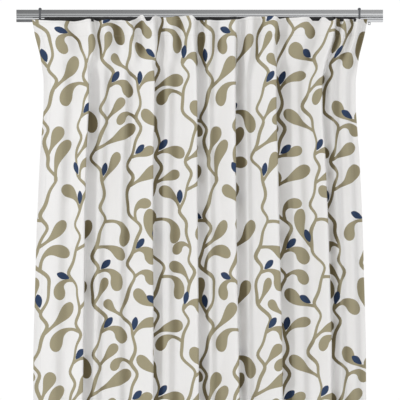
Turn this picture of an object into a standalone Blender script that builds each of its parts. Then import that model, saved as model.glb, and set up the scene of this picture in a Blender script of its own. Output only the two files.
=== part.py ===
"""Soft curtain on a square-cut aluminium curtain track with two wall brackets.

Metres, +X right, +Y back towards the wall, +Z up. The wall is the plane y = 0 and the origin
lies on it, midway between the two brackets at the height of their plates' centres.
"""
import math

import bmesh
import bpy

# ---- driving dimensions ---------------------------------------------------------------
GAP = 0.0003                  # air left between pieces that touch

TRACK_LENGTH = 0.955
TRACK_HEIGHT = 0.032
TRACK_DEPTH = 0.016
TRACK_TOP = 0.022             # above the plates' centres
TRACK_BACK = -0.046           # distance from the wall
WALL_T = 0.0014               # extrusion wall
SLOT_WIDTH = 0.004
CHANNEL_WIDTH = 0.0116
CHANNEL_HEIGHT = 0.007

BRACKET_SPACING = 0.832
STRIP_WIDTH = 0.005
STRIP_T = 0.0018
ARM_T = 0.002
PLATE = (0.025, 0.0025, 0.050)
WALL_SCREW_DROP = 0.013
WALL_SCREW_ASIDE = 0.0072     # from the arm, on both sides of it
WALL_SCREW_LENGTH = 0.025

CLOTH_HALF_WIDTH = 0.4355
CLOTH_DROP = 2.0              # finished height, heading to hem
CLOTH_T = 0.001
TAPE_HEIGHT = 0.050
HEM_HEIGHT = 0.040
FOLD_DEPTH = 0.050            # front to back, below the heading
HEADING_DEPTH = 0.024         # front to back, at the gathered heading
FOLD_LEAN = 0.13              # how far a fold tips over the next one, as a share of the pitch

GLIDERS = 8                   # runners that slide; the ninth hook hangs on the end stop
HOOK_INSET = 0.010            # first and last hook, from the cloth's edge
GLIDER_LENGTH = 0.010
STOP_LENGTH = 0.016
WIRE_R = 0.0009

# ---- dependent sizes ------------------------------------------------------------------
TRACK_FRONT = TRACK_BACK - TRACK_DEPTH
TRACK_BOTTOM = TRACK_TOP - TRACK_HEIGHT
TRACK_MID = (TRACK_FRONT + TRACK_BACK) / 2
FLOOR_Z = TRACK_BOTTOM + WALL_T           # what the gliders run on
ROOF_Z = FLOOR_Z + CHANNEL_HEIGHT
BAR_Z = TRACK_BOTTOM - 0.0065             # the eye bar that a hook hangs on
BAR_HALF = 0.001
EYE_HALF_T = 0.0011
HOOK_ARC = math.hypot(BAR_HALF, EYE_HALF_T) + GAP + WIRE_R
HOOK_FRONT = TRACK_FRONT + 0.0005        # the leg that goes into the tape, by the track's face
TAPE_BACK = HOOK_FRONT - WIRE_R - GAP
CLOTH_BACK = TAPE_BACK - CLOTH_T - GAP       # the cloth's rear face in a fold's valley
CLOTH_TOP = -0.0028
TAPE_TOP = TRACK_BOTTOM + 0.0015
FIRST_HOOK = -CLOTH_HALF_WIDTH + HOOK_INSET
PITCH = 2 * (CLOTH_HALF_WIDTH - HOOK_INSET) / GLIDERS
HEM_BOTTOM = CLOTH_TOP - CLOTH_DROP


def start():
    for thing in list(bpy.data.objects):
        bpy.data.objects.remove(thing)


def material(name, colour, metallic, roughness):
    made = bpy.data.materials.new(name)
    made.use_nodes = True
    shader = made.node_tree.nodes["Principled BSDF"]
    shader.inputs["Base Color"].default_value = (*colour, 1)
    shader.inputs["Metallic"].default_value = metallic
    shader.inputs["Roughness"].default_value = roughness
    return made


def node(name, verts, faces, mat, smooth=False):
    mesh = bpy.data.meshes.new(name)
    mesh.from_pydata(verts, [], faces)
    work = bmesh.new()
    work.from_mesh(mesh)
    bmesh.ops.recalc_face_normals(work, faces=work.faces)
    work.to_mesh(mesh)
    work.free()
    mesh.materials.append(mat)
    for face in mesh.polygons:
        face.use_smooth = smooth
    made = bpy.data.objects.new(name, mesh)
    bpy.context.collection.objects.link(made)
    return made


def prism(name, outlines, x0, x1, mat, smooth=False, plane="yz", across=0.0):
    """A closed body from flat outlines (the first is the outer one, the rest are holes)."""
    work = bmesh.new()
    edges = []
    for outline in outlines:
        ring = [work.verts.new((0, a, b)) for a, b in outline]
        edges += [work.edges.new((ring[i], ring[i - 1])) for i in range(len(ring))]
    bmesh.ops.triangle_fill(work, edges=edges, use_beauty=True)
    bmesh.ops.recalc_face_normals(work, faces=work.faces)
    moved = bmesh.ops.extrude_face_region(work, geom=list(work.faces))["geom"]
    shifted = {v for v in moved if isinstance(v, bmesh.types.BMVert)}
    for v in work.verts:
        along = x1 if v in shifted else x0
        v.co = (along, v.co.y, v.co.z) if plane == "yz" else (v.co.y, along, v.co.z)
    bmesh.ops.recalc_face_normals(work, faces=work.faces)
    work.verts.index_update()
    verts = [tuple(v.co) for v in work.verts]
    faces = [[v.index for v in f.verts] for f in work.faces]
    work.free()
    return node(name, verts, faces, mat, smooth)


def turned(name, profile, place, axis, mat, steps=16):
    """A lathe body: profile is (radius, height) along axis, with radius 0 at both ends."""
    verts, faces = [], []
    last = len(profile) - 1
    for k, (r, h) in enumerate(profile):
        ring = 1 if k in (0, last) else steps
        for i in range(ring):
            turn = 2 * math.pi * i / steps
            a, b = r * math.cos(turn), r * math.sin(turn)
            offset = (a, b, h) if axis == "z" else (a, h, b)
            verts.append(tuple(p + o for p, o in zip(place, offset)))
    def ring_at(k):
        return 0 if k == 0 else 1 + (k - 1) * steps
    for i in range(steps):
        j = (i + 1) % steps
        faces.append((0, ring_at(1) + j, ring_at(1) + i))
        for k in range(1, last - 1):
            a, b = ring_at(k), ring_at(k + 1)
            faces.append((a + i, a + j, b + j, b + i))
        a, tip = ring_at(last - 1), ring_at(last)
        faces.append((a + i, a + j, tip))
    return node(name, verts, faces, mat, smooth=True)


def box(name, low, high, mat):
    (x0, y0, z0), (x1, y1, z1) = low, high
    return prism(name, [[(y0, z0), (y1, z0), (y1, z1), (y0, z1)]], x0, x1, mat)


def combine(made, other, operation):
    step = made.modifiers.new(operation.lower(), "BOOLEAN")
    step.operation = operation
    step.solver = "EXACT"
    step.object = other
    other.hide_render = True
    other.display_type = "WIRE"


def arc(centre, radius, start_deg, end_deg, steps):
    out = []
    for i in range(steps + 1):
        turn = math.radians(start_deg + (end_deg - start_deg) * i / steps)
        out.append((centre[0] + radius * math.cos(turn), centre[1] + radius * math.sin(turn)))
    return out


# ---- track ----------------------------------------------------------------------------
def track_outline():
    """The extrusion's section: (y, z) points of its outer line and of its hollow."""
    def at(u, w):
        return (TRACK_FRONT + u, TRACK_BOTTOM + w)
    mid = TRACK_DEPTH / 2
    slot, half = SLOT_WIDTH / 2, CHANNEL_WIDTH / 2
    lower = [at(0.0020, 0), at(0.0012, 0.0003), at(0.0006, 0.0012), at(0.0002, 0.0026),
             at(0, 0.0046), at(0.0001, 0.0070), at(0.0004, 0.0092), at(0.0009, 0.0112),
             at(0.0014, 0.0118)]
    lip = [at(0.0021, 0.0119), at(0.0021, 0.0132), at(0.0009, 0.0134), at(0.0006, 0.0142),
           at(0.0009, 0.0150), at(0.0021, 0.0152), at(0.0021, 0.0166)]
    upper = [at(0.0010, 0.0168), at(0.0005, 0.0176), at(0.0002, 0.0200), at(0, 0.0235),
             at(0, 0.0270), at(0.0003, 0.0300), at(0.0008, 0.0314), at(0.0016, TRACK_HEIGHT)]
    back = [at(TRACK_DEPTH - 0.0008, TRACK_HEIGHT), at(TRACK_DEPTH, TRACK_HEIGHT - 0.0008),
            at(TRACK_DEPTH, 0.0164), at(TRACK_DEPTH - 0.0014, 0.0164),
            at(TRACK_DEPTH - 0.0014, 0.0136), at(TRACK_DEPTH, 0.0136),
            at(TRACK_DEPTH, 0.0008), at(TRACK_DEPTH - 0.0008, 0)]
    channel = [at(mid + slot, 0), at(mid + slot, WALL_T), at(mid + half, WALL_T),
               at(mid + half, WALL_T + CHANNEL_HEIGHT), at(mid - half, WALL_T + CHANNEL_HEIGHT),
               at(mid - half, WALL_T), at(mid - slot, WALL_T), at(mid - slot, 0)]
    floor = WALL_T + CHANNEL_HEIGHT + WALL_T
    hollow = [at(0.0036, floor), at(TRACK_DEPTH - 0.0029, floor),
              at(TRACK_DEPTH - 0.0029, TRACK_HEIGHT - WALL_T), at(0.0036, TRACK_HEIGHT - WALL_T)]
    return [lower + lip + upper + back + channel, hollow]


# ---- brackets -------------------------------------------------------------------------
def bracket_outline():
    """Side view of the arm: over the track, down its front to a bead, and a claw behind it."""
    front = TRACK_FRONT - GAP
    outer = front - STRIP_T
    under = TRACK_TOP + GAP
    top = under + ARM_T
    tooth_low = TRACK_BOTTOM + 0.0121
    tooth_high = TRACK_BOTTOM + 0.0132 - GAP
    bead = arc((front - 0.0021, TRACK_BOTTOM + 0.0106), 0.0016, 130, 400, 12)
    claw_y = TRACK_BACK + GAP
    toe_top = TRACK_BOTTOM + 0.0164 - GAP
    return [
        (-0.0008, top), (outer + 0.0012, top), (outer + 0.0004, top - 0.0004),
        (outer, top - 0.0012), *bead,
        (front, tooth_low), (front + 0.0015, tooth_low + 0.0001),
        (front + 0.0015, tooth_high), (front, tooth_high), (front, under),
        (claw_y, under), (claw_y, toe_top), (claw_y - 0.0012, toe_top),
        (claw_y - 0.0012, toe_top - 0.0014), (claw_y, toe_top - 0.0018),
        (claw_y, toe_top - 0.0030), (claw_y + 0.0018, toe_top - 0.0030),
        (claw_y + 0.0018, TRACK_TOP - 0.006), (-0.014, TRACK_TOP - 0.009),
        (-0.0008, 0.003),
    ]


def bracket(side, x, steel, screw_steel):
    name = f"wall_bracket_{side}"
    width, thick, height = PLATE
    plate = box(name, (x - width / 2, -thick, -height / 2), (x + width / 2, 0, height / 2), steel)
    half = STRIP_WIDTH / 2
    arm = prism(f"cut_arm_{side}", [bracket_outline()], x - half, x + half, steel)
    combine(plate, arm, "UNION")
    under = TRACK_TOP + GAP
    boss = turned(f"cut_boss_{side}", [(0, 0), (0.0043, 0), (0.0043, ARM_T), (0, ARM_T)],
                  (x, TRACK_MID, under), "z", steel, 20)
    combine(plate, boss, "UNION")
    hole = turned(f"cut_hole_{side}", [(0, -0.001), (0.0018, -0.001), (0.0018, ARM_T + 0.001),
                                       (0, ARM_T + 0.001)], (x, TRACK_MID, under), "z", steel)
    combine(plate, hole, "DIFFERENCE")
    inward = 1 if x < 0 else -1
    for k, way in (("inner", inward), ("outer", -inward)):
        place = (x + way * WALL_SCREW_ASIDE, 0, -WALL_SCREW_DROP)
        cut = turned(f"cut_{k}_{side}", [(0, -0.004), (0.0025, -0.004), (0.0025, 0.001),
                                         (0, 0.001)], place, "y", steel)
        combine(plate, cut, "DIFFERENCE")
        head = -thick - GAP
        turned(f"wall_screw_{side}_{k}", [(0, head - 0.0022), (0.0018, head - 0.0021),
                                          (0.0032, head - 0.0014), (0.0039, head - 0.0004),
                                          (0.0039, head), (0.0020, head),
                                          (0.0020, WALL_SCREW_LENGTH - 0.006),
                                          (0, WALL_SCREW_LENGTH)],
               place, "y", screw_steel)
    seat = under + ARM_T + GAP
    turned(f"clamp_screw_{side}", [(0, under), (0.0015, under), (0.0015, seat), (0.0040, seat),
                                   (0.0040, seat + 0.0010), (0.0033, seat + 0.0020),
                                   (0.0018, seat + 0.0027), (0, seat + 0.0029)],
           (x, TRACK_MID, 0), "z", screw_steel)


# ---- runners and hooks ----------------------------------------------------------------
def eye_plate(name, x, mat):
    """The neck and eye under a runner: a thin plate with a hole and a bar below it."""
    top, low = FLOOR_Z + 0.0012, BAR_Z - BAR_HALF
    half, hole = 0.0035, 0.0022
    outer = [(x - half, top), (x - half, low + 0.001), (x - half + 0.001, low),
             (x + half - 0.001, low), (x + half, low + 0.001), (x + half, top)]
    crown = arc((x, TRACK_BOTTOM - 0.0034), hole, 0, 180, 8)
    inner = [(x - hole, BAR_Z + BAR_HALF), (x + hole, BAR_Z + BAR_HALF), *crown]
    return prism(name, [outer, inner], TRACK_MID - EYE_HALF_T, TRACK_MID + EYE_HALF_T, mat,
                 plane="xz")


def glider(name, x, mat):
    half_y = CHANNEL_WIDTH / 2 - 0.0004
    half_x = GLIDER_LENGTH / 2
    low = FLOOR_Z + GAP
    body = box(name, (x - half_x, TRACK_MID - half_y, low), (x + half_x, TRACK_MID + half_y,
                                                           low + 0.0026), mat)
    combine(body, eye_plate(f"cut_eye_{name}", x, mat), "UNION")


def end_stop(side, eye_x, centre, screw_x, mat, screw_steel):
    """A block clamped in the channel by a grub screw; it carries an eye like a glider's."""
    name = f"end_stop_{side}"
    half_y, half_x = CHANNEL_WIDTH / 2 - GAP, STOP_LENGTH / 2
    low, high = FLOOR_Z + GAP, ROOF_Z - GAP
    body = box(name, (centre - half_x, TRACK_MID - half_y, low),
               (centre + half_x, TRACK_MID + half_y, high), mat)
    combine(body, eye_plate(f"cut_eye_{name}", eye_x, mat), "UNION")
    bore = turned(f"cut_bore_{name}", [(0, low - 0.001), (0.0018, low - 0.001),
                                       (0.0018, high + 0.001), (0, high + 0.001)],
                  (screw_x, TRACK_MID, 0), "z", mat)
    combine(body, bore, "DIFFERENCE")
    turned(f"stop_screw_{side}", [(0, low - 0.0004), (0.0011, low), (0.0015, low + 0.0003),
                                  (0.0015, high - 0.0006), (0.0008, high), (0, high)],
           (screw_x, TRACK_MID, 0), "z", screw_steel)


def hook_path():
    """(y, z) of the wire: over the eye bar, down, then up again into the heading tape."""
    over = arc((TRACK_MID, BAR_Z), HOOK_ARC, -50, 180, 10)
    drop = BAR_Z - 0.0125
    bend = (TRACK_MID - HOOK_ARC - HOOK_FRONT) / 2
    turn = arc((TRACK_MID - HOOK_ARC - bend, drop), bend, 0, -180, 8)
    return over + turn + [(HOOK_FRONT, BAR_Z - 0.0025)]


def hook(name, x, mat, sides=8):
    path = hook_path()
    verts, faces = [], []
    for i, (y, z) in enumerate(path):
        y0, z0 = path[max(i - 1, 0)]
        y1, z1 = path[min(i + 1, len(path) - 1)]
        long = math.hypot(y1 - y0, z1 - z0)
        ny, nz = -(z1 - z0) / long, (y1 - y0) / long
        for k in range(sides):
            turn = 2 * math.pi * k / sides
            out, aside = WIRE_R * math.cos(turn), WIRE_R * math.sin(turn)
            verts.append((x + aside, y + ny * out, z + nz * out))
    for i in range(len(path) - 1):
        for k in range(sides):
            a, b = i * sides + k, i * sides + (k + 1) % sides
            faces.append((a, b, b + sides, a + sides))
    faces.append(tuple(range(sides)))
    faces.append(tuple(range(len(verts) - sides, len(verts))))
    node(name, verts, faces, mat, smooth=True)


# ---- cloth ----------------------------------------------------------------------------
WAIST = [(0.0, 1.0), (-0.0585, 0.985), (-0.12, 0.958), (-0.212, 0.938), (-0.40, 0.962),
         (-0.60, 0.980), (-0.85, 0.995), (-2.1, 1.010)]


def waist(z):
    """How wide the curtain hangs at a height, as a share of its heading's width."""
    for (z1, w1), (z0, w0) in zip(WAIST, WAIST[1:]):
        if z >= z0:
            return w1 + (w0 - w1) * min(max((z1 - z) / (z1 - z0), 0), 1)
    return WAIST[-1][1]


def depth(z):
    """(rear, front) of the folds' centre line: shallow in the heading, deeper below it."""
    share = min(max((TAPE_TOP - TAPE_HEIGHT - z) / 0.09, 0), 1)
    share = share * share * (3 - 2 * share)
    rear = CLOTH_BACK - CLOTH_T / 2 + 0.014 * share
    return rear, rear - HEADING_DEPTH - (FOLD_DEPTH - HEADING_DEPTH) * share


def fold_line(z, steps=12):
    """(x, y) of the centre line of the cloth at a height, with a valley at every hook."""
    rear, front = depth(z)
    deep = (rear - front) / FOLD_DEPTH
    out = [(-CLOTH_HALF_WIDTH * waist(z), rear - 0.0008)]
    for i in range(GLIDERS * steps + 1):
        turn = 2 * math.pi * i / steps
        rise = (1 - math.cos(turn)) / 2
        x = FIRST_HOOK + PITCH * (i / steps + FOLD_LEAN * deep * rise)
        out.append((x * waist(z), rear + (front - rear) * rise))
    out.append((CLOTH_HALF_WIDTH * waist(z), rear - 0.0008))
    return out


def shifted(line, by):
    """The line moved sideways by a distance, towards the wall when positive."""
    out = []
    for i, (x, y) in enumerate(line):
        x0, y0 = line[max(i - 1, 0)]
        x1, y1 = line[min(i + 1, len(line) - 1)]
        a = (x - x0, y - y0) if i else (x1 - x, y1 - y)
        b = (x1 - x, y1 - y) if i < len(line) - 1 else a
        la, lb = math.hypot(*a), math.hypot(*b)
        n = (-a[1] / la - b[1] / lb, a[0] / la + b[0] / lb)
        scale = math.hypot(*n)
        n = (n[0] / scale, n[1] / scale)
        cosine = max(n[0] * -a[1] / la + n[1] * a[0] / la, 0.6)
        out.append((x + n[0] * by / cosine, y + n[1] * by / cosine))
    return out


def ribbon(name, heights, rear_by, front_by, mat, top=None):
    """A closed layer that follows the folds between two offsets, over a list of heights."""
    verts, faces = [], []
    for k, z in enumerate(heights):
        line = fold_line(z)
        for by in (rear_by, front_by):
            for i, (x, y) in enumerate(shifted(line, by)):
                verts.append((x, y, top(x) if top and k == 0 else z))
    count = len(fold_line(0))
    rows = len(heights)
    for k in range(rows - 1):
        a, b = 2 * k * count, 2 * (k + 1) * count
        for side in (0, count):
            for i in range(count - 1):
                faces.append((a + side + i, a + side + i + 1, b + side + i + 1, b + side + i))
        for end in (0, count - 1):
            faces.append((a + end, b + end, b + count + end, a + count + end))
    for row in (0, 2 * (rows - 1) * count):
        for i in range(count - 1):
            faces.append((row + i, row + i + 1, row + count + i + 1, row + count + i))
    node(name, verts, faces, mat, smooth=True)


def cloth_top(x):
    """The heading's free edge: a little higher between the brackets than beside them."""
    inside = min(max((BRACKET_SPACING / 2 - 0.02 - abs(x)) / 0.05, 0), 1)
    return CLOTH_TOP + 0.0065 * inside


def build():
    start()
    aluminium = material("track_aluminium", (0.60, 0.61, 0.62), 1.0, 0.32)
    steel = material("bracket_steel", (0.30, 0.31, 0.32), 1.0, 0.38)
    zinc = material("screw_zinc", (0.56, 0.57, 0.58), 1.0, 0.34)
    nylon = material("runner_nylon", (0.86, 0.86, 0.84), 0.0, 0.45)
    wire = material("hook_plastic", (0.82, 0.83, 0.83), 0.0, 0.35)
    cloth = material("curtain_fabric", (0.74, 0.73, 0.71), 0.0, 0.9)
    band = material("tape_fabric", (0.83, 0.83, 0.81), 0.0, 0.88)

    prism("track_profile", track_outline(), -TRACK_LENGTH / 2, TRACK_LENGTH / 2, aluminium)
    bracket("left", -BRACKET_SPACING / 2, steel, zinc)
    bracket("right", BRACKET_SPACING / 2, steel, zinc)

    last_hook = FIRST_HOOK + GLIDERS * PITCH
    stop_x = last_hook + GLIDER_LENGTH / 2 + GAP + STOP_LENGTH / 2
    end_stop("left", FIRST_HOOK, FIRST_HOOK - 0.003, FIRST_HOOK - 0.0075, zinc, steel)
    end_stop("right", stop_x + 0.003, stop_x, stop_x - 0.0045, zinc, steel)

    hook("hook_end", FIRST_HOOK, wire)
    for i in range(1, GLIDERS + 1):
        x = FIRST_HOOK + i * PITCH
        glider(f"glider_{i}", x, nylon)
        hook(f"hook_{i}", x, wire)

    half = CLOTH_T / 2
    tape_low = TAPE_TOP - TAPE_HEIGHT
    ribbon("curtain_cloth",
           [CLOTH_TOP, TAPE_TOP, tape_low, -0.088, -0.118, -0.150, -0.212, -0.40, -0.85,
            HEM_BOTTOM], half, -half, cloth, cloth_top)
    ribbon("heading_tape", [TAPE_TOP, tape_low], half + GAP + CLOTH_T, half + GAP, band)
    ribbon("bottom_hem", [HEM_BOTTOM + HEM_HEIGHT, HEM_BOTTOM], half + GAP + CLOTH_T,
           half + GAP, cloth)


build()
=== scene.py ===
"""Looks of the soft curtain on its aluminium track. Metres, +X right, +Y to the wall, +Z up."""
import math
import random
import bpy
import numpy as np
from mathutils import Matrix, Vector
from mathutils.geometry import delaunay_2d_cdt


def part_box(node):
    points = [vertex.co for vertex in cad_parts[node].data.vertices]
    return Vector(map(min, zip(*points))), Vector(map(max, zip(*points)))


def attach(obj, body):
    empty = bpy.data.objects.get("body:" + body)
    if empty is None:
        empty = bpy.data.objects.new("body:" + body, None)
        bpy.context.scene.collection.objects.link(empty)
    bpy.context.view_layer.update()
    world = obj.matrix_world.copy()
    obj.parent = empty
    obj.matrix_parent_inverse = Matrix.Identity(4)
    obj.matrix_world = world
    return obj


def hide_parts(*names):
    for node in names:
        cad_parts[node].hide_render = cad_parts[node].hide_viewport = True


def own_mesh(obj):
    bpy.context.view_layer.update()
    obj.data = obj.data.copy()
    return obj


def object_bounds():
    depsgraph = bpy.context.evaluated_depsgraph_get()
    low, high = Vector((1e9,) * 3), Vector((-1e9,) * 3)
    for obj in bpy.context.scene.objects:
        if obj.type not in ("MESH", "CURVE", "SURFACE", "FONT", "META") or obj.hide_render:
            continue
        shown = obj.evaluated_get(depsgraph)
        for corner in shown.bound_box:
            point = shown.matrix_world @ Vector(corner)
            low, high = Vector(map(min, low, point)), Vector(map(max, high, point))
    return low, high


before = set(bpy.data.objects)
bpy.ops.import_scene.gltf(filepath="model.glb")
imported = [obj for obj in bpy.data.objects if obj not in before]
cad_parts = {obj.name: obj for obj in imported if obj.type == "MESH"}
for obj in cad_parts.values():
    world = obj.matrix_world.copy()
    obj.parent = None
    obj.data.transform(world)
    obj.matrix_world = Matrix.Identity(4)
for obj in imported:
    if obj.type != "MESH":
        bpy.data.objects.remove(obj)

CAD_BOX = [list(corner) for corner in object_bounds()]
TRACK_LOW, TRACK_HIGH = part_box("track_profile")
HOOKS = ["hook_end"] + [f"hook_{i}" for i in range(1, 9)]

# ---- the cloth's sizes ----------------------------------------------------------------
FLAT_W, FLAT_H = 1.20, 2.00
CLOTH_T = 0.0006
HALF_WIDTH = 0.4355              # as it hangs, at the heading
TOP = -0.0041                    # nominal top edge of the cloth
TAPE_ABOVE, TAPE_H = 0.0061, 0.050               # the tape stands this far above the cloth
TAPE_T, TAPE_INSET = 0.0007, 0.012
PAINTED_SHADOW_BAND = 0.006                 # painted shadow: the tape's near-black upper edge, for the shaded gap between cloth and track; measured from the cloth's top
HEM_H, HEM_INSET = 0.040, 0.002
SIDE_HEM = 0.018                 # the side hems' stitches, from the cloth's edges
GAP = 0.0003                     # air between two layers of cloth
HEADING_H, FALL_BLEND = 0.050, 0.115             # the heading's folds end; the fall's take over
HOOK_X = [(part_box(n)[0][0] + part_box(n)[1][0]) / 2 for n in HOOKS]
HOOK_PITCH = HOOK_X[1] - HOOK_X[0]
HOOK_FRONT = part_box("hook_4")[0][1]              # the hooks' legs reach this far forward
REAR = HOOK_FRONT - 0.0004 - TAPE_T - CLOTH_T    # the cloth's centre line at a hook
BODY_REAR = REAR + 0.012                         # rear of the folds below the track
CLIP_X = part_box("wall_bracket_right")[0][0] + 0.0005     # the brackets begin here


# ---- materials ------------------------------------------------------------------------
THREAD = 0.0007                  # one thread of the weave
SEWING_THREAD, STITCH = 0.0009, 0.0042


def linear(r, g, b):
    """Display colour 0..255 to linear light."""
    return tuple(((c / 255 + 0.055) / 1.055) ** 2.4 if c > 10 else c / 255 / 12.92
                 for c in (r, g, b))


class Nodes:
    """A small builder of node trees."""

    def __init__(self, name, **sockets):
        self.mat = bpy.data.materials.new(name)
        self.mat.use_nodes = True
        self.tree = self.mat.node_tree
        self.shader = self.tree.nodes["Principled BSDF"]
        for key, value in sockets.items():
            self.shader.inputs[key.replace("_", " ")].default_value = value

    def add(self, kind, inputs=(), **settings):
        made = self.tree.nodes.new(kind)
        for key, value in settings.items():
            setattr(made, key, value)
        for key, value in dict(inputs).items():
            if isinstance(value, bpy.types.NodeSocket):
                self.tree.links.new(value, made.inputs[key])
            else:
                made.inputs[key].default_value = value
        return made

    def maths(self, operation, a, b=0.0, c=0.0):
        return self.add("ShaderNodeMath", {0: a, 1: b, 2: c}, operation=operation).outputs[0]

    def noise(self, vector, scale, detail=2.0, rough=0.5):
        return self.add("ShaderNodeTexNoise", {"Vector": vector, "Scale": scale,
                                               "Detail": detail, "Roughness": rough}).outputs[0]

    def stretch(self, vector, scale):
        return self.add("ShaderNodeMapping", {"Vector": vector, "Scale": scale}).outputs[0]

    def span(self, value, low, high, to_low=0.0, to_high=1.0):
        return self.add("ShaderNodeMapRange", {"Value": value, "From Min": low, "From Max": high,
                                               "To Min": to_low, "To Max": to_high}).outputs[0]

    def mix(self, share, a, b):
        made = self.tree.nodes.new("ShaderNodeMix")
        made.data_type = "RGBA"
        for key, value in ((0, share), (6, a), (7, b)):
            if isinstance(value, bpy.types.NodeSocket):
                self.tree.links.new(value, made.inputs[key])
            else:
                made.inputs[key].default_value = (*value, 1) if key else value
        return made.outputs[2]

    def colour(self, socket):
        self.tree.links.new(socket, self.shader.inputs["Base Color"])

    def rough(self, socket):
        self.tree.links.new(socket, self.shader.inputs["Roughness"])

    def bump(self, height, strength, distance):
        made = self.add("ShaderNodeBump", {"Height": height, "Strength": strength,
                                           "Distance": distance})
        self.tree.links.new(made.outputs[0], self.shader.inputs["Normal"])


def woven(name, colour, dark, deep=None):
    """Plain weave laid out in the cloth's own flat coordinates, with slubs and seam threads.
    dark: the tone between the threads, as a share of the colour; deep: painted shade, the colour
    that the print takes in the folds' valleys where the fold attribute is 1, as a share of its
    own."""
    m = Nodes(name, Roughness=0.86, Sheen_Weight=0.03, Sheen_Roughness=0.5,
              Specular_IOR_Level=0.2)
    flat = m.add("ShaderNodeUVMap", uv_map="weave").outputs[0]
    split = m.add("ShaderNodeSeparateXYZ", {0: flat})
    across, down = split.outputs[0], split.outputs[1]
    warp = m.maths("SINE", m.maths("MULTIPLY", across, math.pi / THREAD))
    weft = m.maths("SINE", m.maths("MULTIPLY", down, math.pi / THREAD))
    weave = m.maths("MULTIPLY_ADD", m.maths("MULTIPLY", warp, weft), 0.5, 0.5)
    slub_down = m.noise(m.stretch(flat, (900, 22, 1)), 1.0, 2)
    slub_across = m.noise(m.stretch(flat, (22, 900, 1)), 1.0, 2)
    slubs = m.maths("MULTIPLY_ADD", slub_down, 0.5, m.maths("MULTIPLY", slub_across, 0.5))
    cloudy = m.noise(m.stretch(flat, (9, 9, 1)), 1.0, 3)
    light = m.maths("MULTIPLY_ADD", weave, 0.35,
                    m.maths("MULTIPLY_ADD", slubs, 0.9, m.maths("MULTIPLY", cloudy, 0.25)))
    light = m.span(light, 0.35, 1.05)
    tone = m.mix(light, tuple(c * dark for c in colour), colour)
    # painted shade: the print darkens towards deep in the folds' valleys, by the fold attribute
    if deep:
        valley = m.add("ShaderNodeAttribute", attribute_name="fold").outputs["Fac"]
        full = tuple(c * d for c, d in zip(colour, deep))
        tone = m.mix(valley, tone, m.mix(light, tuple(c * dark for c in full), full))
    stitches = curtain_seams(m, across, down)
    m.colour(m.mix(stitches, tone, tuple(c * 0.86 for c in colour)))
    height = m.maths("MULTIPLY_ADD", weave, 0.6, slubs)
    m.bump(m.maths("MULTIPLY_ADD", stitches, -2.5, height), 0.55, 0.00012)
    return m.mat


def dashes(m, along, across, at):
    """One row of stitches: 1 on the thread, 0 beside it."""
    off = m.maths("ABSOLUTE", m.maths("SUBTRACT", across, at))
    near = m.maths("LESS_THAN", off, SEWING_THREAD / 2)
    step = m.maths("FRACT", m.maths("DIVIDE", along, STITCH))
    return m.maths("MULTIPLY", near, m.maths("LESS_THAN", step, 0.68))


def curtain_seams(m, across, down):
    """Stitching: two rows hold the tape, one each side hem and one the bottom hem."""
    rows = [dashes(m, across, down, 0.0060), dashes(m, across, down, TAPE_H - 0.0075),
            dashes(m, across, down, FLAT_H - HEM_H + 0.002),
            dashes(m, down, across, SIDE_HEM), dashes(m, down, across, FLAT_W - SIDE_HEM)]
    total = rows[0]
    for row in rows[1:]:
        total = m.maths("MAXIMUM", total, row)
    return total


def brushed(name, colour, rough, grain):
    """Metal with fine lines, faint stains and a little variation in gloss."""
    m = Nodes(name, Metallic=1.0, Roughness=rough)
    place = m.add("ShaderNodeTexCoord").outputs["Object"]
    lines = m.noise(m.stretch(place, grain), 1.0, 3, 0.6)
    cloudy = m.noise(place, 26.0, 3, 0.55)
    share = m.maths("MULTIPLY_ADD", lines, 0.6, m.maths("MULTIPLY", cloudy, 0.4))
    m.colour(m.mix(m.span(share, 0.3, 0.7), tuple(c * 0.90 for c in colour), colour))
    m.rough(m.span(share, 0.3, 0.7, rough + 0.05, rough - 0.03))
    m.bump(lines, 0.12, 0.00006)
    return m.mat


def moulded(name, colour, rough):
    """White plastic: faint mottling and a fine moulded grain."""
    m = Nodes(name, Roughness=rough)
    place = m.add("ShaderNodeTexCoord").outputs["Object"]
    cloudy = m.noise(place, 160.0, 3, 0.5)
    fine = m.noise(place, 2600.0, 2, 0.5)
    m.colour(m.mix(m.span(cloudy, 0.35, 0.65), tuple(c * 0.93 for c in colour), colour))
    m.rough(m.span(fine, 0.3, 0.7, rough - 0.05, rough + 0.08))
    m.bump(fine, 0.10, 0.00005)
    return m.mat


# ---- how the cloth hangs --------------------------------------------------------------
# (height, width as a share of the width at the heading); the cloth draws in below the heading.
WAIST = ((0.0, 1.004), (-0.045, 0.985), (-0.10, 0.952), (-0.16, 0.934), (-0.235, 0.934),
         (-0.36, 0.956), (-0.55, 0.976), (-0.85, 0.995), (-2.1, 1.008))
# Each fold: its share of the width, its depth and how far it tips over, in the heading and
# below it. The deep ones end in a sharp step to their right, the others are soft.
FOLD_PLAN = (
    ((0.125, 0.021, 0.06), (0.082, 0.010, 0.05)), ((0.055, 0.024, 0.10), (0.056, 0.036, 0.24)),
    ((0.070, 0.020, -0.06), (0.068, 0.013, 0.06)), ((0.060, 0.022, 0.10), (0.072, 0.015, 0.12)),
    ((0.065, 0.027, 0.14), (0.075, 0.038, 0.26)), ((0.065, 0.021, 0.02), (0.069, 0.014, 0.06)),
    ((0.060, 0.026, 0.10), (0.070, 0.038, 0.26)), ((0.060, 0.020, -0.04), (0.058, 0.013, 0.08)),
    ((0.065, 0.026, 0.12), (0.069, 0.037, 0.26)), ((0.060, 0.021, 0.04), (0.048, 0.013, 0.06)),
    ((0.065, 0.026, 0.10), (0.085, 0.040, 0.26)), ((0.125, 0.022, 0.06), (0.092, 0.014, 0.10)),
    ((0.050, 0.025, 0.12), (0.058, 0.035, 0.24)), ((0.040, 0.018, -0.04), (0.044, 0.012, 0.06)),
    ((0.035, 0.017, 0.00), (0.054, 0.010, 0.00)))
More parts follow.
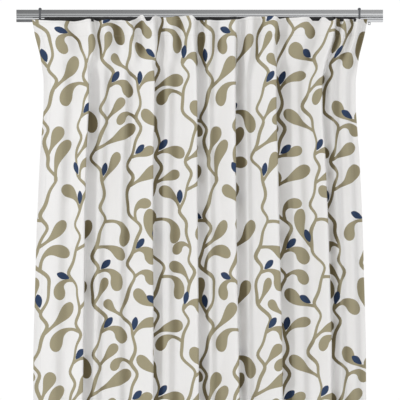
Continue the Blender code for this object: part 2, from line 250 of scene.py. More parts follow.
# (place counted in hooks, height in millimetres of the free edge above the nominal top)
TOP_EDGE = ((-0.1, 1), (0.1, -1), (0.45, -4), (0.95, -4.5), (1.25, 0), (1.4, 0), (1.52, -4.5),
            (1.75, -1.5), (2.1, -2), (2.3, -6), (2.42, 0), (2.56, 12), (2.62, 12), (2.7, -5),
            (2.8, -5), (2.86, 6), (2.95, 9.5), (3.05, 5), (3.3, 4.5), (3.42, 8.5), (3.83, 9),
            (3.92, -2), (4.4, -2.5), (4.86, -2), (5.2, 7), (5.84, 7.5), (5.93, 1.5), (6.1, 5),
            (6.66, 5), (6.75, -4), (6.9, -4), (6.98, 6), (7.06, 6), (7.16, -4), (7.24, -4),
            (7.33, 2.5), (7.46, 0.5), (7.86, 0), (8.1, 1))


COLUMNS = 1401                   # even steps along the flat width
SHADE_REACH = 0.0250             # a fold shades the cloth beside it this far
SHADE_FROM, SHADE_FULL = 0.0045, 0.0200          # depths where the shade starts and is full


def waist(z):
    """The width at height z, as a share of the width at the heading."""
    heights, shares = zip(*WAIST[::-1])
    return np.interp(z, heights, shares)


def ease(f):
    """0 to 1, level at both ends."""
    return f * f * (3 - 2 * f)


def crest(f, top):
    """0 at both ends, 1 at f = top, level at all three."""
    rise = 0.5 - 0.5 * np.cos(np.pi * np.clip(f / top, 0, 1))
    fall = 0.5 + 0.5 * np.cos(np.pi * np.clip((f - top) / (1 - top), 0, 1))
    return np.where(f < top, rise, fall) ** 1.1


class Row:
    """One line of folds across the width; its seeded numbers are drawn once."""

    def __init__(self, plan, seed, tops, valleys):
        draw = random.Random(seed)
        share, size, lean = (np.array(column) for column in zip(*plan))
        self.ends = np.concatenate([[0], np.cumsum(share)]) / share.sum()
        self.size, self.lean = size, lean
        self.top = np.where(size > size.mean(), tops[0], tops[1])
        self.top = self.top + [draw.uniform(-0.03, 0.03) for _ in size]
        in_hooks = self.ends * (len(HOOKS) - 1)
        at_hook = np.abs(in_hooks - np.round(in_hooks)) < 0.09
        self.valley = np.where(at_hook, valleys[0], valleys[1])
        self.turn = np.array([draw.uniform(0, 2 * math.pi) for _ in self.ends])
        self.pace = np.array([draw.uniform(0.7, 1.3) for _ in self.ends])

    def line(self, z, rear, deep, sway):
        """(x, y) of the centre line at height z for a depth factor."""
        ends = self.ends.copy()
        inner = slice(1, -1)
        ends[inner] += sway * np.sin(self.turn[inner] + 3.4 * self.pace[inner] * z)
        first, last = HOOK_X[0], HOOK_X[-1]
        places = first + (last - first) * ends
        size = self.size * (1 + 0.10 * np.sin(self.turn[:-1] + 2.6 * self.pace[:-1] * z))
        f = (np.arange(90) / 90)[None, :]
        width = np.diff(places)[:, None]
        g = crest(f, self.top[:, None])
        low = self.valley[:-1, None] * (1 - ease(f)) + self.valley[1:, None] * ease(f)
        x = places[:-1, None] + width * (f + self.lean[:, None] * deep * g)
        y = rear - low - deep * size[:, None] * g
        edge = HALF_WIDTH + first
        x = np.concatenate([[first - edge], x.ravel(), [last, last + edge]])
        y = np.concatenate([[rear - 0.0015], y.ravel(), [rear, rear - 0.0015]])
        return x * waist(z), y

    def hang(self, z, rear, sway):
        """The line at even steps along the cloth, with the fold depth that makes its length
        the cloth's own."""
        low, high = 0.2, 2.6
        for _ in range(16):
            deep = (low + high) / 2
            x, y = self.line(z, rear, deep, sway)
            if np.hypot(np.diff(x), np.diff(y)).sum() < FLAT_W:
                low = deep
            else:
                high = deep
        along = np.concatenate([[0], np.cumsum(np.hypot(np.diff(x), np.diff(y)))])
        at = np.linspace(0, along[-1], COLUMNS)
        return np.interp(at, along, x), np.interp(at, along, y)


HEADING = Row([top for top, _ in FOLD_PLAN], 5, (0.60, 0.52), (0.0, 0.004))
BODY = Row([low for _, low in FOLD_PLAN], 23, (0.72, 0.56), (0.0, 0.003))


def ripple(s, seed, pitch):
    """Smooth seeded noise along the cloth, about -1 to 1."""
    draw = random.Random(seed)
    count = int(FLAT_W / pitch) + 3
    values = [draw.uniform(-1, 1) for _ in range(count)]
    place = np.asarray(s) / pitch
    i = np.clip(place.astype(int), 0, count - 2)
    f = ease(place - i)
    values = np.array(values)
    return values[i] * (1 - f) + values[i + 1] * f


def hang_cloth():
    """Grids of places and normals of the cloth's middle surface over its flat size."""
    downs = np.concatenate([np.linspace(0, 0.06, 13), np.linspace(0.065, 0.24, 26),
                            np.linspace(0.255, FLAT_H, 100)])
    s = np.linspace(0, FLAT_W, COLUMNS)
    places = np.zeros((len(downs), COLUMNS, 3))
    fine = 0.0006 * ripple(s, 3, 0.024)
    tip = 0.5 + 0.5 * ripple(s, 12, 0.060)
    for j, t in enumerate(downs):
        z = TOP - t
        w = ease(min(max((t - HEADING_H) / FALL_BLEND, 0), 1))
        x, y = HEADING.hang(z, REAR, 0.0)
        free = np.interp((x / waist(z) - HOOK_X[0]) / HOOK_PITCH, *zip(*TOP_EDGE)) / 1000
        if w > 0:
            fall_x, fall_y = BODY.hang(z, REAR + (BODY_REAR - REAR) * w,
                                       0.006 * min(t / 0.8, 1))
            x, y = x + (fall_x - x) * w, y + (fall_y - y) * w
        places[j, :, 0] = x
        places[j, :, 1] = y - (0.0031 + 0.0026 * tip) * math.exp(-t / 0.012)
        places[j, :, 2] = z + (free + fine) * math.exp(-t / 0.020)
    across = np.gradient(places, axis=1)
    down = np.gradient(places, downs, axis=0)
    normals = np.cross(down, across)
    normals /= np.linalg.norm(normals, axis=2, keepdims=True)
    return s, downs, places, normals


S_GRID, T_GRID, PLACES, NORMALS = hang_cloth()


def fold_shade():
    """0 to 1: how far each place lies behind the fold beside it, towards -X."""
    shade = np.zeros(PLACES.shape[:2] + (1,))
    for j, row in enumerate(PLACES):
        x, y = row[:, 0], row[:, 1]
        off = x[None, :] - x[:, None]
        beside = (off > -SHADE_REACH) & (off < 0.0030)
        depth = y - np.where(beside, y[None, :], 1.0).min(axis=1)
        depth = np.clip((depth - SHADE_FROM) / (SHADE_FULL - SHADE_FROM), 0, 1)
        shade[j, :, 0] = np.convolve(ease(depth), np.ones(5) / 5, "same")
    return shade


SHADE = fold_shade()


def on_cloth(s, t, grid):
    """The grid read at flat places s, t (arrays)."""
    i = np.clip(s / FLAT_W * (len(S_GRID) - 1), 0, len(S_GRID) - 1.000001)
    j = np.clip(np.interp(t, T_GRID, np.arange(len(T_GRID))), 0, len(T_GRID) - 1.000001)
    i0, j0 = i.astype(int), j.astype(int)
    fi, fj = (i - i0)[:, None], (j - j0)[:, None]
    top = grid[j0, i0] * (1 - fi) + grid[j0, i0 + 1] * fi
    low = grid[j0 + 1, i0] * (1 - fi) + grid[j0 + 1, i0 + 1] * fi
    return top * (1 - fj) + low * fj


# ---- the print: a generic climbing plant in one repeat, then laid out over the cloth ---
TILE_W, TILE_H = 0.600, 0.640
FIRST_TILE = (-0.030, -0.17)       # its corner on the flat cloth
STEMS = 6
SPREAD = 1.05                      # the motif is drawn this much wider than it is printed
DRAWN_W = TILE_W / SPREAD
CELL = 0.0025                      # of the grid that keeps the leaves apart
BUD_LENGTH, BUD_HALF = 0.036, 0.0088
BUD_SPACING = 0.050
PRINT_SEED = 41


class Plant:
    """One repeat of the motif. Angles are from straight up, positive to the right."""

    def __init__(self, seed):
        self.draw = random.Random(seed)
        self.leaves, self.buds, self.bud_places = [], [], []
        self.grid = np.zeros((round(TILE_H / CELL), round(DRAWN_W / CELL)), bool)
        self.phase = [self.draw.uniform(0, 1) for _ in range(STEMS)]
        self.other = [self.draw.uniform(0, 1) for _ in range(STEMS)]
        for k in range(STEMS):
            for t in np.arange(0, TILE_H, 0.0015):
                for off in np.arange(-0.006, 0.0061, 0.002):
                    self.mark(self.stem_at(k, t) + off, t)
        for k in range(STEMS):
            self.grow(k)

    def stem_at(self, k, t):
        a = 2 * math.pi * (t / TILE_H * 2 + self.phase[k])
        b = 2 * math.pi * (t / TILE_H * 5 + self.other[k])
        bend = math.sin(a + 0.7 * math.sin(a))
        kink = math.sin(b + 0.9 * math.sin(b))
        return (k + 0.5) * DRAWN_W / STEMS + 0.016 * bend + 0.012 * kink

    def lean_at(self, k, t):
        return math.atan((self.stem_at(k, t - 0.003) - self.stem_at(k, t + 0.003)) / 0.006)

    def cell(self, s, t):
        return round(t / CELL) % self.grid.shape[0], round(s / CELL) % self.grid.shape[1]

    def mark(self, s, t):
        self.grid[self.cell(s, t)] = True

    def path(self, place, angle, curl, length, girth, steps):
        """Middle points (s, t, heading, half width) of a tapering, curling stroke."""
        s, t = place
        middle = []
        for i in range(steps + 1):
            f = i / steps
            turn = angle + curl * f * f * (3 - 2 * f)
            middle.append((s, t, turn, girth(f * length)))
            s += math.sin(turn) * length / steps
            t -= math.cos(turn) * length / steps
        return middle

    @staticmethod
    def outline(middle):
        left = [(a - h * math.cos(d), b - h * math.sin(d)) for a, b, d, h in middle]
        right = [(a + h * math.cos(d), b + h * math.sin(d)) for a, b, d, h in middle]
        return left + right[-2::-1] if middle[0][3] else left + right[-2:0:-1]

    def leaf(self, place, angle, curl, stalk, blade, width):
        """A stalk that widens into a paddle with a rounded end."""
        def girth(along):
            thin = 0.0046 - 0.0009 * min(along / stalk, 1)
            f = (along - 0.6 * stalk) / (blade + 0.4 * stalk)
            if f <= 0:
                return thin
            if f < 0.74:
                g = f / 0.74
                return thin + (width / 2 - thin) * (g * g * (3 - 2 * g)) ** 1.25
            return width / 2 * math.sqrt(max(1 - ((f - 0.74) / 0.26) ** 2, 0))
        length = stalk + blade
        middle = self.path(place, angle, curl, length, girth, 20)
        a, b, turn, _ = middle[-2]
        return middle[:-1] + [(a + math.sin(turn) * length * (f - 0.95),
                               b - math.cos(turn) * length * (f - 0.95), turn,
                               girth(f * length)) for f in (0.965, 0.988, 1.0)]

    def hits(self, middle, skip):
        """How many taken cells a stroke would touch, with 3.5 mm to spare on each side."""
        count = 0
        for a, b, d, h in middle[skip:]:
            reach = h + 0.0035
            for share in (-1, -0.66, -0.33, 0, 0.33, 0.66, 1):
                off = reach * share
                count += bool(self.grid[self.cell(a + off * math.cos(d), b + off * math.sin(d))])
        return count

    def fill(self, middle, skip):
        """Marks the cells under a stroke as taken."""
        for (a, b, d, h), (a2, b2, _, h2) in zip(middle[skip:], middle[skip + 1:]):
            for share in (0, 0.5):
                x, y, half = a + (a2 - a) * share, b + (b2 - b) * share, h + (h2 - h) * share
                for off in np.arange(-half, half + 0.001, 0.002):
                    self.mark(x + off * math.cos(d), y + off * math.sin(d))

    def grow(self, k):
        """Leaves along one stem, on alternate sides, each the best of many trials."""
        draw = self.draw
        nodes, side = 8, 1 if k % 2 else -1
        for i in range(nodes):
            at = (i + draw.uniform(0.25, 0.75)) * TILE_H / nodes
            side = -side
            lean = self.lean_at(k, at)
            with_bud = (2 * i + k) % 5 < 2
            best = None
            for trial in range(160):
                way = side if trial < 110 else -side
                out = draw.uniform(*((0.55, 0.95) if with_bud else (0.3, 1.1)))
                curl = draw.choice((-0.9, -0.6, -0.4, -0.1, 0.9, 2.1)) + draw.uniform(-0.2, 0.2)
                shrink = 1 if trial < 60 else 0.8 if trial < 120 else 0.62
                leaf = self.leaf((self.stem_at(k, at), at), lean + way * out, way * curl,
                                 draw.uniform(0.014, 0.050) * shrink,
                                 draw.uniform(0.064, 0.092) * shrink,
                                 draw.uniform(0.030, 0.036) * (0.4 + 0.6 * shrink))
                cost = self.hits(leaf, 5) + draw.uniform(0, 0.5) + 5 * (1 - shrink)
                if best is None or cost < best[0]:
                    best = (cost, leaf, way, out)
            cost, leaf, way, out = best
            if cost > 9:                     # no room for a leaf here
                continue
            self.fill(leaf, 3)
            self.leaves.append(self.outline(leaf))
            if with_bud:
                self.bud(k, at, lean, way, out)

    def bud(self, k, at, lean, way, out):
        """An egg-shaped bud that stands in the fork, its point in the fork's corner."""
        angle = lean + way * out * 0.48
        start = (self.stem_at(k, at) + math.sin(angle) * 0.014, at - math.cos(angle) * 0.014)
        for a, b in self.bud_places:
            ds = (start[0] - a + DRAWN_W / 2) % DRAWN_W - DRAWN_W / 2
            dt = (start[1] - b + TILE_H / 2) % TILE_H - TILE_H / 2
            if math.hypot(ds, dt) < BUD_SPACING:
                return

        def girth(along):
            f = along / BUD_LENGTH
            return BUD_HALF * math.sin(math.pi * f ** 1.2) ** 0.62 if 0 < f < 0.997 else 0.0
        middle = self.path(start, angle, 0, BUD_LENGTH, girth, 24)
        self.bud_places.append(start)
        self.fill(middle, 0)
        self.buds.append(self.outline(middle))


def lay_print():
    """Outlines in flat cloth coordinates: (kind, points), kind 1 for plant and 2 for buds."""
    plant = Plant(PRINT_SEED)
    shapes = []
    across, down = math.ceil(FLAT_W / TILE_W) + 1, math.ceil(FLAT_H / TILE_H) + 1
    start_s, start_t = FIRST_TILE
    for i in range(-1, across):
        for j in range(-1, down):
            ds, dt = start_s + i * TILE_W, start_t + j * TILE_H
            for kind, outlines in ((1, plant.leaves), (2, plant.buds)):
                for outline in outlines:
                    shapes.append((kind, [(a * SPREAD + ds, b + dt) for a, b in outline]))
        for k in range(STEMS):
            left, right = [], []
            for t in np.arange(-0.02, FLAT_H + 0.021, 0.006):
                own = t - start_t
                lean = plant.lean_at(k, own)
                a, h = plant.stem_at(k, own), 0.0045 + 0.0007 * math.sin(own * 40 + k)
                left.append(((a - h * math.cos(lean)) * SPREAD, t - h * math.sin(lean)))
                right.append(((a + h * math.cos(lean)) * SPREAD, t + h * math.sin(lean)))
            shift = start_s + i * TILE_W
            shapes.append((1, [(a + shift, b) for a, b in left + right[::-1]]))
    kept = []
    for kind, outline in shapes:
        low_s, high_s = min(p[0] for p in outline), max(p[0] for p in outline)
        low_t, high_t = min(p[1] for p in outline), max(p[1] for p in outline)
        if high_s > 0.001 and low_s < FLAT_W - 0.001 and high_t > 0 and low_t < FLAT_H:
            kept.append((kind, outline))
    return kept


def cut_cloth(shapes, squeeze=3.0):
    """Triangles over the flat cloth that follow the print's outlines: places, corners and
    kinds (0 ground). They are cut on a cloth squeezed along its length, which suits the folds."""
    columns = np.linspace(0, FLAT_W, 300)
    rows = np.concatenate([np.linspace(0, 0.06, 11), np.linspace(0.068, 0.22, 17),
                           np.linspace(0.235, FLAT_H, 96)])
    points = [(s, t / squeeze) for t in rows for s in columns]
    wide, high = len(columns), len(rows)
    edges = [(i, i + 1) for i in range(wide - 1)]
    edges += [(i + (high - 1) * wide, i + 1 + (high - 1) * wide) for i in range(wide - 1)]
    edges += [(j * wide, (j + 1) * wide) for j in range(high - 1)]
    edges += [(j * wide + wide - 1, (j + 1) * wide + wide - 1) for j in range(high - 1)]
    faces, kinds = [], []
    for kind, outline in shapes:
        start = len(points)
        area = sum(a[0] * b[1] - b[0] * a[1] for a, b in zip(outline, outline[1:] + outline[:1]))
        points += [(s, t / squeeze) for s, t in (outline if area > 0 else outline[::-1])]
        faces.append(list(range(start, len(points))))
        kinds.append(kind)
    out = delaunay_2d_cdt([Vector(p) for p in points], edges, faces, 0, 1e-7, True)
    verts = np.array([tuple(v) for v in out[0]]) * (1, squeeze)
    tris, colours = [], []
    for face, from_faces in zip(out[2], out[5]):
        a, b, c = (verts[i] for i in face)
        middle = (a + b + c) / 3
        if not (0 < middle[0] < FLAT_W and 0 < middle[1] < FLAT_H):
            continue
        found = {kinds[i] for i in from_faces}
        tris.append(face)
        colours.append(max(found, default=0))
    used = np.unique(np.array(tris))
    renumber = np.full(len(verts), -1)
    renumber[used] = np.arange(len(used))
    return verts[used], renumber[np.array(tris)], np.array(colours)


FRONT_UV, BACK_UV = (0.005, 0.650), (0.665, 0.330)       # start and width in the bake


def layer_mesh(name, flat, tris, kinds, offset, thick, mats, at=on_cloth):
    """A thin closed sheet: the flat triangles laid on the hanging cloth, front and back. The
    first half of mats is for the front, the second for the back and the rim."""
    place, normal = at(flat[:, 0], flat[:, 1], PLACES), at(flat[:, 0], flat[:, 1], NORMALS)
    normal /= np.linalg.norm(normal, axis=1, keepdims=True)
    front = place + normal * (offset + thick / 2)
    back = place + normal * (offset - thick / 2)
    count = len(flat)
    a, b, c = (front[tris[:, i]] for i in range(3))
    facing = np.einsum("ij,ij->i", np.cross(b - a, c - a), normal[tris[:, 0]])
    tris = np.where((facing < 0)[:, None], tris[:, [0, 2, 1]], tris)
    around = np.concatenate([tris[:, [0, 1]], tris[:, [1, 2]], tris[:, [2, 0]]])
    keys = around[:, 0].astype(np.int64) * count + around[:, 1]
    opposite = around[:, 1].astype(np.int64) * count + around[:, 0]
    border = around[~np.isin(keys, opposite)]
    faces = [tuple(f) for f in tris] + [tuple(f) for f in tris[:, ::-1] + count]
    faces += [(int(v), int(u), int(u) + count, int(v) + count) for u, v in border]
    first_back = len(mats) // 2
    slots = list(kinds) + [first_back + k for k in kinds] + [first_back] * len(border)
    mesh = bpy.data.meshes.new(name)
    mesh.from_pydata(np.concatenate([front, back]).tolist(), [],
                     [tuple(int(i) for i in f) for f in faces])
    mesh.polygons.foreach_set("material_index", np.array(slots, np.int32))
    mesh.polygons.foreach_set("use_smooth", np.ones(len(faces), bool))
    for m in mats:
        mesh.materials.append(m)
    corner = np.empty(len(mesh.loops), np.int32)
    mesh.loops.foreach_get("vertex_index", corner)
    both = np.concatenate([flat, flat])
    weave = mesh.uv_layers.new(name="weave")
    weave.data.foreach_set("uv", both[corner].astype(np.float32).ravel())
    low, high = flat.min(0), flat.max(0)
    share = (both - low) / (high - low)
    is_front = (np.arange(2 * count) < count)[:, None]
    start = np.where(is_front, [FRONT_UV[0], 0.005], [BACK_UV[0], 0.005])
    span = np.where(is_front, [FRONT_UV[1], 0.99], [BACK_UV[1], 0.99])
    bake = mesh.uv_layers.new(name="OFBake")
    bake.data.foreach_set("uv", (start + share * span)[corner].astype(np.float32).ravel())
    # painted shade: the fold shade at each place, which the print's materials use to darken the
    # plant and buds in the folds' valleys
    fold = mesh.attributes.new("fold", "FLOAT", "POINT")
    fold.data.foreach_set("value", np.tile(on_cloth(flat[:, 0], np.maximum(flat[:, 1], 0),
                                                    SHADE)[:, 0], 2).astype(np.float32))
    mesh.normals_split_custom_set_from_vertices(
        np.concatenate([normal, -normal]).astype(np.float32).tolist())
    made = bpy.data.objects.new(name, mesh)
    bpy.context.collection.objects.link(made)
    return made


def strip(low_s, high_s, low_t, high_t, columns, rows):
    """A plain rectangle of the flat cloth in triangles, as cut_cloth gives them."""
    s, t = np.meshgrid(np.linspace(low_s, high_s, columns), np.linspace(low_t, high_t, rows))
    flat = np.stack([s.ravel(), t.ravel()], 1)
    i = (np.arange(rows - 1)[:, None] * columns + np.arange(columns - 1)).ravel()
    tris = np.concatenate([np.stack([i, i + 1, i + columns + 1], 1),
                           np.stack([i, i + columns + 1, i + columns], 1)])
    return flat, tris, np.zeros(len(tris), int)


# ---- cloth, tape and hem --------------------------------------------------------------
GROUND = linear(234, 233, 232)
PLANT = linear(160, 152, 125)
BUD = linear(50, 67, 97)


def faded(colour, share):
    """A print's colour as it shows through on the back."""
    return tuple(c * share + ground * (1 - share) for c, ground in zip(colour, GROUND))


cloth_mats = [
    woven("cloth_ground", GROUND, 0.95),
    # the plant and the buds take painted shade in the folds' valleys (deep)
    woven("print_plant", PLANT, 0.90, deep=(0.50, 0.46, 0.38)),
    woven("print_bud", BUD, 0.85, deep=(0.50, 0.55, 0.60)),
    woven("back_ground", tuple(c * 0.97 for c in GROUND), 0.94),
    woven("back_plant", faded(PLANT, 0.38), 0.92),
    woven("back_bud", faded(BUD, 0.40), 0.92),
]


def on_tape(s, t, grid):
    """As on_cloth, but without the cloth's free edge: straight along its top, lower beside the
    brackets, and leaning forward so that it clears the track when the curtain swings."""
    found = on_cloth(s, np.maximum(t, 0.020), grid)
    if grid is PLACES:
        beside_clip = np.abs(found[:, 0]) > CLIP_X
        found[:, 1] -= 0.0020 * np.clip((0.0039 - t) / 0.010, 0, 1)
        found[:, 2] = TOP - np.where(beside_clip, np.maximum(t, -0.0012), t)
    return found


def tape_pattern():
    """White gathering tape with woven pockets and cords, and a near-black band along its top:
    painted shadow of the gap between the cloth and the track.
    """
    m = Nodes("tape_face", Roughness=0.85)
    flat = m.add("ShaderNodeUVMap", uv_map="weave").outputs[0]
    split = m.add("ShaderNodeSeparateXYZ", {0: flat})
    across, down = split.outputs[0], split.outputs[1]
    rib = m.maths("SINE", m.maths("MULTIPLY", across, math.pi / 0.0009))
    cords = m.maths("ABSOLUTE", m.maths("SINE", m.maths("MULTIPLY", down, math.pi / 0.0120)))
    pocket = m.maths("LESS_THAN", m.maths("FRACT", m.maths("DIVIDE", across, 0.0110)), 0.42)
    slub = m.noise(m.stretch(flat, (700, 120, 1)), 1.0, 3)
    height = m.maths("MULTIPLY_ADD", rib, 0.25, m.maths("MULTIPLY_ADD", pocket, 0.8,
                     m.maths("MULTIPLY", m.maths("GREATER_THAN", cords, 0.985), 1.2)))
    white, grey = linear(240, 240, 237), linear(206, 206, 201)
    tone = m.mix(m.span(m.maths("ADD", m.maths("MULTIPLY", height, 0.3), slub), 0.2, 1.0),
                 grey, white)
    # painted shadow: near-black along the tape's top, for the shaded gap behind the cloth's edge
    painted_gap_shadow = m.mix(slub, (0.012, 0.012, 0.013), (0.022, 0.021, 0.021))
    m.colour(m.mix(m.span(down, PAINTED_SHADOW_BAND + 0.0002, PAINTED_SHADOW_BAND - 0.0002), tone, painted_gap_shadow))
    m.bump(height, 0.5, 0.00025)
    return m.mat


cloth = layer_mesh("printed_cloth", *cut_cloth(lay_print()), 0.0, CLOTH_T, cloth_mats)
tape = layer_mesh("heading_tape_woven",
                  *strip(TAPE_INSET, FLAT_W - TAPE_INSET, -TAPE_ABOVE, TAPE_H - TAPE_ABOVE,
                         560, 26),
                  -(CLOTH_T + TAPE_T) / 2 - 0.0002, TAPE_T, [tape_pattern()] * 2, at=on_tape)
hem = layer_mesh("bottom_hem_fold",
                 *strip(HEM_INSET, FLAT_W - HEM_INSET, FLAT_H - HEM_H, FLAT_H - 0.001, 480, 8),
                 -CLOTH_T - GAP, CLOTH_T, [cloth_mats[3]] * 2)

for piece, cad in ((cloth, "curtain_cloth"), (tape, "heading_tape"), (hem, "bottom_hem")):
    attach(piece, "curtain")
    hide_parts(cad)
    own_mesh(piece)

# ---- hardware -------------------------------------------------------------------------
# The slope of the face's bands, up positive: (share of the track's height, slope).
UPPER_BANDS = ((0.414, 0.256), (0.473, 0.256), (0.476, -0.90), (0.522, -0.90), (0.526, 0.215),
               (0.600, 0.205), (0.680, 0.165), (0.780, 0.13), (0.900, 0.08), (1.0, 0.07))
LEFT_BANDS = ((0.0, 0.62), (0.168, 0.62), (0.172, -0.14), (0.250, -0.14), (0.254, 0.256),
              (0.331, 0.256), (0.335, -0.90), (0.410, -0.90))
RIGHT_BANDS = ((0.0, 0.20), (0.088, 0.20), (0.092, 0.256), (0.168, 0.256), (0.172, -0.14),
               (0.250, -0.14), (0.254, 0.20), (0.331, 0.20), (0.335, -0.90), (0.410, -0.90))


def track_finish():
    """Satin extrusion. The bands of its face are set at slightly different angles: a crowned
    upper face, a bright lip, and a lower band with a slight twist from end to end. The upper
    face's colour holds a painted reflection, darker at the left end and lighter at the right."""
    m = Nodes("track_satin", Metallic=1.0, Roughness=0.2)
    place = m.add("ShaderNodeTexCoord").outputs["Object"]
    axes = m.add("ShaderNodeSeparateXYZ", {0: place})
    lines = m.noise(m.stretch(place, (3, 700, 1400)), 1.0, 3, 0.6)
    cloudy = m.noise(m.stretch(place, (5, 60, 60)), 1.0, 3, 0.55)
    share = m.maths("MULTIPLY_ADD", lines, 0.6, m.maths("MULTIPLY", cloudy, 0.4))
    along = m.span(axes.outputs[0], TRACK_LOW[0], TRACK_HIGH[0])
    up = m.span(axes.outputs[2], TRACK_LOW[2], TRACK_HIGH[2])
    # painted reflection: the upper face's colour runs from darker at the left end to lighter at
    # the right; the lower band keeps one colour
    face = m.mix(along, linear(138, 139, 140), linear(186, 187, 188))
    tone_and_painted_reflection = m.mix(m.span(up, 0.49, 0.51), linear(175, 176, 178), face)
    m.colour(m.mix(m.span(share, 0.3, 0.7, 0.12, 0.0), tone_and_painted_reflection, linear(120, 121, 122)))
    turns = []
    for bands in (LEFT_BANDS + UPPER_BANDS, RIGHT_BANDS + UPPER_BANDS):
        ramp = m.add("ShaderNodeValToRGB", {0: up})
        stops = ramp.color_ramp.elements
        stops[0].position, stops[1].position = bands[0][0], bands[-1][0]
        for at, _ in bands[1:-1]:
            stops.new(at)
        for stop, (_, turn_up) in zip(stops, bands):
            stop.color = (*(0.5 + turn_up / 3,) * 3, 1)
        turns.append(m.maths("MULTIPLY_ADD", ramp.outputs[0], 3.0, -1.5))
    slope = m.maths("MULTIPLY_ADD", m.maths("SUBTRACT", turns[1], turns[0]), along, turns[0])
    slope = m.maths("ADD", slope, m.maths("MULTIPLY_ADD", lines, 0.06, -0.03))
    surface = m.add("ShaderNodeNewGeometry").outputs["True Normal"]
    facing = m.maths("LESS_THAN", m.add("ShaderNodeSeparateXYZ", {0: surface}).outputs[1], -0.55)
    band = m.add("ShaderNodeCombineXYZ", {1: -1.0, 2: slope})
    aside = m.add("ShaderNodeVectorMath", {0: band.outputs[0], 1: surface}, operation="SUBTRACT")
    aside = m.add("ShaderNodeVectorMath", {0: aside.outputs[0], "Scale": facing},
                  operation="SCALE")
    turned = m.add("ShaderNodeVectorMath", {0: surface, 1: aside.outputs[0]}, operation="ADD")
    turned = m.add("ShaderNodeVectorMath", {0: turned.outputs[0]}, operation="NORMALIZE")
    m.tree.links.new(turned.outputs[0], m.shader.inputs["Normal"])
    m.rough(m.span(up, 0.47, 0.60, 0.08, 0.13))
    return m.mat


track_metal = track_finish()
dark_steel = brushed("clip_steel", linear(104, 105, 108), 0.34, (60, 500, 500))
zinc = brushed("zinc_screw", linear(150, 152, 156), 0.33, (300, 300, 300))
nylon = moulded("glider_nylon", linear(236, 236, 232), 0.45)
hook_white = moulded("hook_white", linear(232, 233, 233), 0.34)


def finish_of(name):
    if name == "track_profile":
        return track_metal
    if name.startswith(("wall_bracket", "stop_screw", "clamp_screw")):
        return dark_steel
    if name.startswith(("wall_screw", "end_stop")):
        return zinc
    return hook_white if name.startswith("hook") else nylon


for name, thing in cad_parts.items():
    if name in ("curtain_cloth", "heading_tape", "bottom_hem"):
        continue
    for place in thing.material_slots:
        place.link = "OBJECT"
        place.material = finish_of(name)

# ---- studio ---------------------------------------------------------------------------
FLOOR_Z = CAD_BOX[0][2] - 0.30
FLOOR_X, FLOOR_FRONT, FLOOR_BACK = 9, -12, 6
FLOOR_GREY = 0.88
KEY_PLACE, KEY_AIM = Vector((-4.3, -3.7, 0.9)), Vector((0, -0.08, -0.6))
KEY_SIZE, KEY_WATTS = (0.30, 1.6), 71


def lay_floor():
    mesh = bpy.data.meshes.new("studio_floor")
    mesh.from_pydata([(-FLOOR_X, FLOOR_FRONT, FLOOR_Z), (FLOOR_X, FLOOR_FRONT, FLOOR_Z),
                      (FLOOR_X, FLOOR_BACK, FLOOR_Z), (-FLOOR_X, FLOOR_BACK, FLOOR_Z)],
                     [], [(0, 1, 2, 3)])
    floor = bpy.data.objects.new("studio_floor", mesh)
    bpy.context.collection.objects.link(floor)
    m = Nodes("studio_floor", Roughness=0.9)
    place = m.add("ShaderNodeTexCoord").outputs["Object"]
    m.colour(m.mix(m.noise(place, 3.0), (FLOOR_GREY * 0.98,) * 3, (FLOOR_GREY,) * 3))
    mesh.materials.append(m.mat)


def hang_key_light():
    data = bpy.data.lights.new("key", "AREA")
    data.shape = "RECTANGLE"
    data.size, data.size_y = KEY_SIZE
    data.energy = KEY_WATTS
    key = bpy.data.objects.new("key", data)
    key.location = KEY_PLACE
    key.rotation_euler = (KEY_AIM - KEY_PLACE).to_track_quat("-Z", "Y").to_euler()
    bpy.context.collection.objects.link(key)


lay_floor()
hang_key_light()

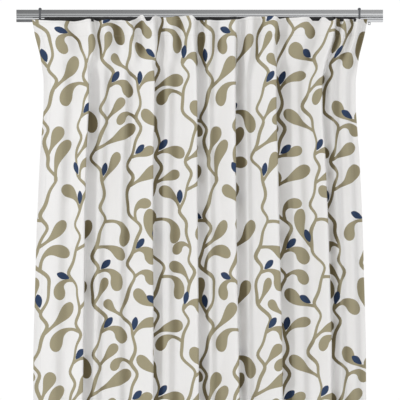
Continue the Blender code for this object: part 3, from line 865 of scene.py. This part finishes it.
# (height of the direction, 0 straight down to 1 straight up, and its brightness) in front of the
# curtain; behind it the world is an even grey.
LEVELS = ((0.0, 0.40), (0.25, 0.45), (0.34, 0.70), (0.38, 1.05), (0.4425, 0.93), (0.5, 0.84),
          (0.6, 0.70), (0.68, 0.68), (0.72, 1.6), (0.81, 1.6), (0.86, 0.42), (1.0, 0.32))
LEVEL_BEHIND = 1.02
world = bpy.data.worlds.new("studio")
bpy.context.scene.world = world
world.use_nodes = True
nodes, links = world.node_tree.nodes, world.node_tree.links
sky = nodes["Background"]
where = nodes.new("ShaderNodeTexCoord")
axes = nodes.new("ShaderNodeSeparateXYZ")
links.new(where.outputs["Generated"], axes.inputs[0])
behind = nodes.new("ShaderNodeMapRange")
behind.inputs["From Min"].default_value, behind.inputs["From Max"].default_value = 0.0, 0.25
links.new(axes.outputs[1], behind.inputs[0])
ramp = nodes.new("ShaderNodeValToRGB")
ramp.color_ramp.elements[0].position, ramp.color_ramp.elements[1].position = 0.0, 1.0
for at, _ in LEVELS[1:-1]:
    ramp.color_ramp.elements.new(at)
for stop, (_, level) in zip(ramp.color_ramp.elements, LEVELS):
    stop.color = (level / 2, level / 2, level / 2, 1)        # the strength of 2 makes it whole
height = nodes.new("ShaderNodeMapRange")
height.inputs["From Min"].default_value, height.inputs["From Max"].default_value = -1.0, 1.0
links.new(axes.outputs[2], height.inputs[0])
links.new(height.outputs[0], ramp.inputs[0])
both = nodes.new("ShaderNodeMix")
both.data_type = "RGBA"
links.new(behind.outputs[0], both.inputs[0])
links.new(ramp.outputs[0], both.inputs[6])
both.inputs[7].default_value = (*(LEVEL_BEHIND / 2,) * 3, 1)
links.new(both.outputs[2], sky.inputs[0])
sky.inputs[1].default_value = 2.0

# ---- camera ---------------------------------------------------------------------------
VIEW_WIDTH = 1.040                 # metres across the picture at the curtain
FRONT_Y = -0.075                   # the curtain's plane
DISTANCE = 8.4
CAMERA_X, BELOW_TRACK = 0.0008, 0.4956
camera_data = bpy.data.cameras.new("camera")
camera_data.sensor_width = 36
camera_data.lens = 36 * DISTANCE / VIEW_WIDTH
camera_data.clip_end = 60
camera = bpy.data.objects.new("camera", camera_data)
camera.location = (CAMERA_X, FRONT_Y - DISTANCE, TRACK_HIGH[2] - BELOW_TRACK)
camera.rotation_euler = (math.pi / 2, 0, 0)
bpy.context.collection.objects.link(camera)
bpy.context.scene.camera = camera
bpy.context.scene.view_settings.view_transform = "Standard"
